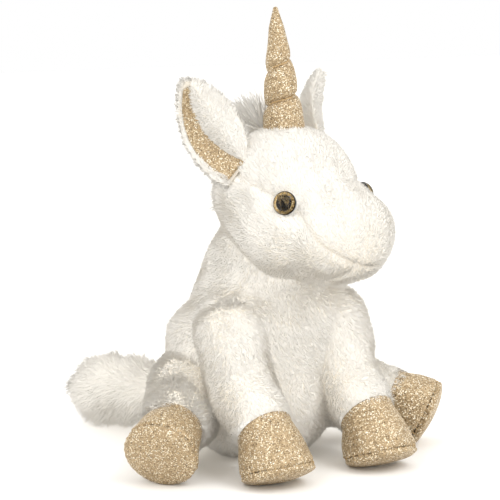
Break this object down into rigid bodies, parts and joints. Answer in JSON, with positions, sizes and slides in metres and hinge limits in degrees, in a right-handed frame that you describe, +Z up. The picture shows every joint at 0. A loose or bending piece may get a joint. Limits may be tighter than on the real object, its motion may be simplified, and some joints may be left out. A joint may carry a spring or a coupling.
{
  "type": "plush unicorn",
  "caption": "Seated white plush unicorn with gold glitter hooves, horn and ear linings, soft joints at neck, legs, ears, horn and tail.",
  "frame": {"origin": "on the flat seat under the torso, below the middle of the neck", "axes": "+Z up, the body faces -Y, the animal's left is +X"},
  "size_m": [0.2398, 0.2476, 0.2986],
  "materials": {
    "short_pile_plush": "matte",
    "long_pile_plush": "matte",
    "polyester_fill": "matte",
    "bag_cloth": "matte",
    "plastic_pellets": "satin",
    "gold_glitter_cloth": "satin",
    "gold_glitter_film": "gloss",
    "gold_thread": "satin",
    "clear_eye": "gloss",
    "black_eye": "gloss",
    "white_washer": "satin"
  },
  "bodies": {
    "torso": {"torso_skin_front": "short_pile_plush", "torso_skin_left": "short_pile_plush", "torso_skin_right": "short_pile_plush", "torso_stuffing": "polyester_fill", "pellet_bag": "bag_cloth", "pellet_fill": "plastic_pellets"},
    "neck": {"neck_skin": "short_pile_plush", "neck_stuffing": "polyester_fill"},
    "head": {"head_gusset": "short_pile_plush", "head_side_left": "short_pile_plush", "head_side_right": "short_pile_plush", "chin_panel": "short_pile_plush", "head_stuffing": "polyester_fill", "mane": "long_pile_plush", "eye_lens_left": "clear_eye", "eye_iris_left": "gold_glitter_film", "eye_pupil_left": "black_eye", "eye_base_left": "black_eye", "eye_washer_left": "white_washer", "eye_lens_right": "clear_eye", "eye_iris_right": "gold_glitter_film", "eye_pupil_right": "black_eye", "eye_base_right": "black_eye", "eye_washer_right": "white_washer"},
    "ear_left": {"ear_back_left": "short_pile_plush", "ear_lining_left": "gold_glitter_cloth"},
    "ear_right": {"ear_back_right": "short_pile_plush", "ear_lining_right": "gold_glitter_cloth"},
    "horn": {"horn_cover": "gold_glitter_cloth", "horn_stuffing": "polyester_fill", "horn_thread": "gold_thread"},
    "front_leg_left": {"front_leg_left_skin": "short_pile_plush", "front_leg_left_stuffing": "polyester_fill", "front_hoof_left_upper": "gold_glitter_cloth", "front_hoof_left_sole": "gold_glitter_cloth"},
    "front_leg_right": {"front_leg_right_skin": "short_pile_plush", "front_leg_right_stuffing": "polyester_fill", "front_hoof_right_upper": "gold_glitter_cloth", "front_hoof_right_sole": "gold_glitter_cloth"},
    "hind_leg_left": {"hind_leg_left_skin": "short_pile_plush", "hind_leg_left_stuffing": "polyester_fill", "hind_hoof_left_upper": "gold_glitter_cloth", "hind_hoof_left_sole": "gold_glitter_cloth"},
    "hind_leg_right": {"hind_leg_right_skin": "short_pile_plush", "hind_leg_right_stuffing": "polyester_fill", "hind_hoof_right_upper": "gold_glitter_cloth", "hind_hoof_right_sole": "gold_glitter_cloth"},
    "tail": {"tail_skin": "long_pile_plush", "tail_stuffing": "polyester_fill"}
  },
  "joints": [
    {"name": "neck_turn", "type": "hinge", "parent": "torso", "child": "neck", "pos_m": [0, 0, 0.134], "axis": [0, 0, 1], "range_deg": [-35, 35], "stiffness_Nm_per_rad": 0.8},
    {"name": "head_nod", "type": "hinge", "parent": "neck", "child": "head", "pos_m": [0, 0, 0.134], "axis": [0.9781, 0.2079, 0], "range_deg": [-20, 14], "stiffness_Nm_per_rad": 1.5},
    {"name": "ear_left_flop", "type": "hinge", "parent": "head", "child": "ear_left", "pos_m": [0.03627, 0.00634, 0.19646], "axis": [0.5446, 0.8387, 0], "range_deg": [-8, 25], "stiffness_Nm_per_rad": 0.03},
    {"name": "ear_right_flop", "type": "hinge", "parent": "head", "child": "ear_right", "pos_m": [-0.03572, -0.00896, 0.19646], "axis": [-0.8387, 0.5446, 0], "range_deg": [-25, 8], "stiffness_Nm_per_rad": 0.03},
    {"name": "horn_bend", "type": "hinge", "parent": "head", "child": "horn", "pos_m": [0.00262, -0.01232, 0.217], "axis": [0.9781, 0.2079, 0], "range_deg": [-12, 12], "stiffness_Nm_per_rad": 0.08},
    {"name": "front_leg_left_swing", "type": "hinge", "parent": "torso", "child": "front_leg_left", "pos_m": [0.04, -0.016, 0.08894], "axis": [-1, 0, 0], "range_deg": [-5, 30], "stiffness_Nm_per_rad": 0.4},
    {"name": "front_leg_right_swing", "type": "hinge", "parent": "torso", "child": "front_leg_right", "pos_m": [-0.04, -0.016, 0.08894], "axis": [-1, 0, 0], "range_deg": [-5, 30], "stiffness_Nm_per_rad": 0.4},
    {"name": "hind_leg_left_lift", "type": "hinge", "parent": "torso", "child": "hind_leg_left", "pos_m": [0.05, 0.022, 0.038], "axis": [-0.7514, -0.6598, 0], "range_deg": [-10, 11], "stiffness_Nm_per_rad": 0.4},
    {"name": "hind_leg_right_lift", "type": "hinge", "parent": "torso", "child": "hind_leg_right", "pos_m": [-0.05, 0.022, 0.038], "axis": [-0.7514, 0.6598, 0], "range_deg": [-10, 11], "stiffness_Nm_per_rad": 0.4},
    {"name": "tail_wag", "type": "hinge", "parent": "torso", "child": "tail", "pos_m": [-0.004, 0.066, 0.028], "axis": [0, 0, 1], "range_deg": [-20, 5], "stiffness_Nm_per_rad": 0.1}
  ]
}
